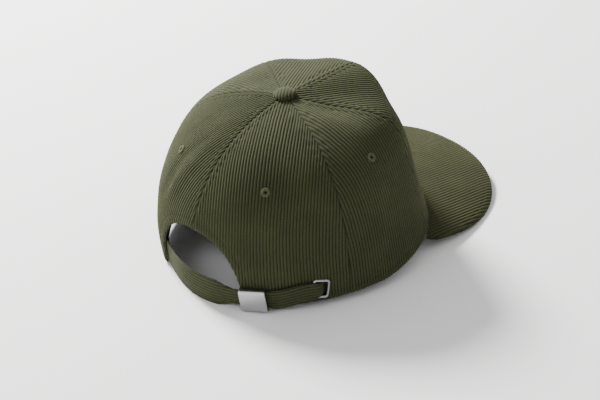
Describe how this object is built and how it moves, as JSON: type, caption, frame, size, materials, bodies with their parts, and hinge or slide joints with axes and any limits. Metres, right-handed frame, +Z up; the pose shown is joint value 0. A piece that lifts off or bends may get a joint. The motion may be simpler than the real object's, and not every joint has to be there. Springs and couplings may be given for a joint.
{
  "type": "baseball cap",
  "caption": "Structured corduroy baseball cap with a curved visor, eyelets, a covered top button and a back strap held by a clamp buckle and a tuck-in grommet.",
  "frame": {"origin": "centre of the head opening, on the plane that the cap rests on", "axes": "+Z up through the button, -Y towards the visor, +X towards the wearer's left"},
  "size_m": [0.1968, 0.2579, 0.1206],
  "materials": {
    "crown_corduroy": "olive corduroy",
    "visor_corduroy": "olive corduroy",
    "strap_corduroy": "olive corduroy",
    "button_corduroy": "olive corduroy",
    "buckram": "stiff open weave",
    "seam_tape": "black cotton twill",
    "sweatband_cotton": "dark cotton twill",
    "eyelet_thread": "satin-stitched thread",
    "visor_board_plastic": "matte",
    "button_steel": "plain",
    "satin_nickel": "satin nickel plate"
  },
  "bodies": {
    "cap": {"back_centre_tape": "seam_tape", "buckle_frame": "satin_nickel", "buckle_pin": "satin_nickel", "buckle_tab": "strap_corduroy", "button_cover": "button_corduroy", "button_shell": "button_steel", "button_washer": "button_steel", "front_centre_tape": "seam_tape", "front_left_buckram": "buckram", "front_left_panel": "crown_corduroy", "front_left_tape": "seam_tape", "front_right_buckram": "buckram", "front_right_panel": "crown_corduroy", "front_right_tape": "seam_tape", "grommet_back_ring": "satin_nickel", "opening_binding": "seam_tape", "rear_left_eyelet": "eyelet_thread", "rear_left_panel": "crown_corduroy", "rear_left_tape": "seam_tape", "rear_right_eyelet": "eyelet_thread", "rear_right_panel": "crown_corduroy", "rear_right_tape": "seam_tape", "side_left_eyelet": "eyelet_thread", "side_left_panel": "crown_corduroy", "side_right_eyelet": "eyelet_thread", "side_right_panel": "crown_corduroy", "strap": "strap_corduroy", "sweatband": "sweatband_cotton", "tuck_grommet": "satin_nickel", "visor_board": "visor_board_plastic", "visor_top_cover": "visor_corduroy", "visor_under_cover": "visor_corduroy"},
    "lever": {"buckle_lever": "satin_nickel"}
  },
  "joints": [
    {"name": "buckle_lid_hinge", "type": "hinge", "parent": "cap", "child": "lever", "pos_m": [-0.04434, 0.09249, 0.00956], "axis": [-0.0247, -0.0953, -0.9951], "range_deg": [0, 95]}
  ]
}
